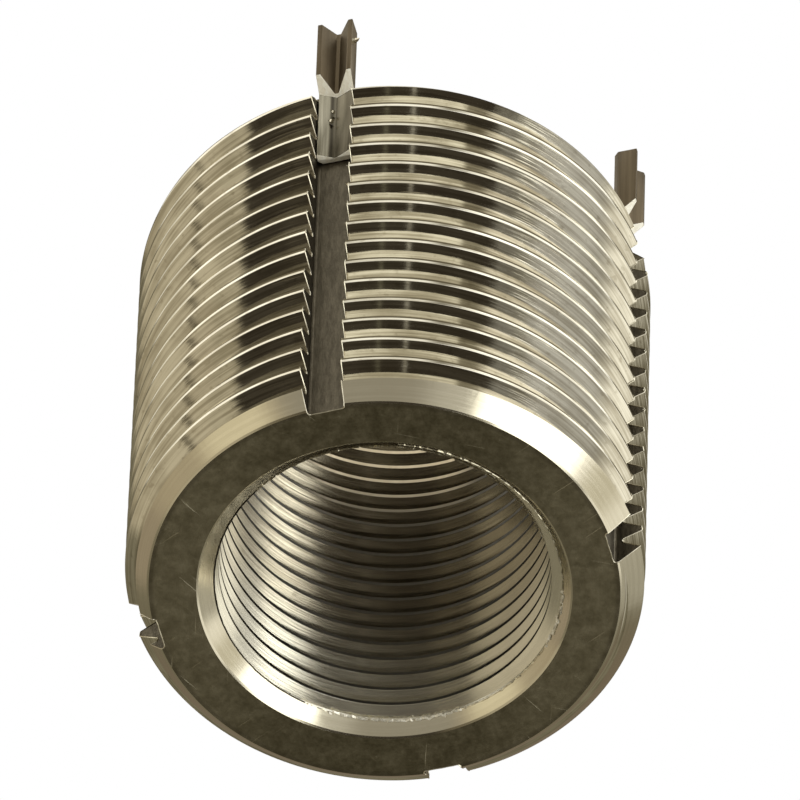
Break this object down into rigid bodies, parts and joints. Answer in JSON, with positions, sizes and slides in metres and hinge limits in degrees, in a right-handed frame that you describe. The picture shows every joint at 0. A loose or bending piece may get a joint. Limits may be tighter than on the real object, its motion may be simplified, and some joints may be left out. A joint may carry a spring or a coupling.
{
  "type": "threaded insert",
  "caption": "Steel bush threaded inside and out, with locking keys standing part-way out of slots in its outer thread.",
  "frame": {"origin": "centre of the leading end face, the end that enters the tapped hole first", "axes": "+Z along the axis to the keyed end; key_1 lies on +X, key_2 on +Y, key_3 on -X, key_4 on -Y"},
  "size_m": [0.0318, 0.0318, 0.0392],
  "materials": {
    "body_steel": "turned, bright",
    "key_steel": "drawn, dark"
  },
  "bodies": {
    "body": {"body": "body_steel"},
    "key_1": {"key_1": "key_steel"},
    "key_2": {"key_2": "key_steel"},
    "key_3": {"key_3": "key_steel"},
    "key_4": {"key_4": "key_steel"}
  },
  "joints": [
    {"name": "key_1_drive", "type": "slide", "parent": "body", "child": "key_1", "axis": [0, 0, -1], "range_m": [0, 0.0062]},
    {"name": "key_2_drive", "type": "slide", "parent": "body", "child": "key_2", "axis": [0, 0, -1], "range_m": [0, 0.0072]},
    {"name": "key_3_drive", "type": "slide", "parent": "body", "child": "key_3", "axis": [0, 0, -1], "range_m": [0, 0.0067]},
    {"name": "key_4_drive", "type": "slide", "parent": "body", "child": "key_4", "axis": [0, 0, -1], "range_m": [0, 0.0067]}
  ]
}
